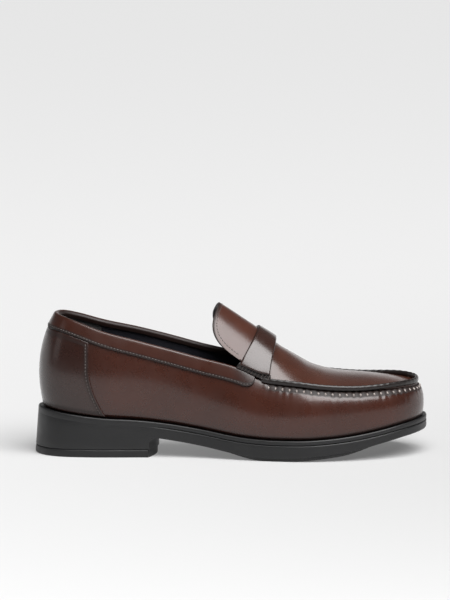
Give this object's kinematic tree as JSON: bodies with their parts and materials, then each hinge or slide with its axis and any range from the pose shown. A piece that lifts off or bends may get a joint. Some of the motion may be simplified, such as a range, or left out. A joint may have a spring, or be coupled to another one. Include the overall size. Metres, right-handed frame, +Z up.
{
  "type": "penny loafer",
  "caption": "Right slip-on moccasin shoe with a raised apron seam, a saddle strap, a folded collar, a low heel and a one-piece moulded sole.",
  "frame": {"origin": "on the ground, under the middle of the shoe's length and width", "axes": "+X from heel to toe, +Y to the medial side, +Z up"},
  "size_m": [0.3, 0.1063, 0.1157],
  "materials": {
    "upper_leather": "burnished brown box calf, polished",
    "counter_leather": "dark burnished brown box calf, polished",
    "collar_leather": "burnished brown box calf, polished",
    "tongue_leather": "brown box calf, polished",
    "strap_leather": "dark brown box calf, high polish",
    "quarter_lining": "smooth blue-black lining",
    "heel_grip_suede": "grey suede",
    "sock_leather": "smooth black sock leather",
    "black_rubber": "satin black",
    "top_lift_rubber": "matte black",
    "fibre_board": "bonded leather fibre board",
    "cork": "granulated cork",
    "foam": "open latex foam",
    "steel": "spring steel",
    "dark_thread": "waxed dark brown thread"
  },
  "bodies": {
    "root": {"outsole": "black_rubber", "welt": "black_rubber", "heel_top_lift": "top_lift_rubber", "bottom_filler": "cork", "shank_board": "fibre_board", "insole_board": "fibre_board", "heel_stiffener": "fibre_board", "toe_puff": "fibre_board", "steel_shank": "steel", "shank_rivet_front": "steel", "shank_rivet_rear": "steel", "heel_cushion": "foam", "sock_liner": "sock_leather", "vamp_wall": "upper_leather", "apron": "upper_leather", "tongue_root": "tongue_leather", "saddle_strap": "strap_leather", "collar_band": "collar_leather", "heel_counter_cover": "counter_leather", "apron_lining": "quarter_lining", "vamp_lining": "quarter_lining", "quarter_lining_lateral": "quarter_lining", "quarter_lining_medial": "quarter_lining", "heel_grip": "heel_grip_suede", "apron_seam_thread": "dark_thread", "strap_lacing_lateral": "dark_thread", "strap_lacing_medial": "dark_thread"},
    "tongue": {"tongue": "tongue_leather", "tongue_lining": "quarter_lining"}
  },
  "joints": [
    {"name": "tongue_flex", "type": "hinge", "parent": "root", "child": "tongue", "pos_m": [0.019, 0, 0.0945], "axis": [0, 1, 0], "range_deg": [0, 14], "stiffness_Nm_per_rad": 0.5}
  ]
}
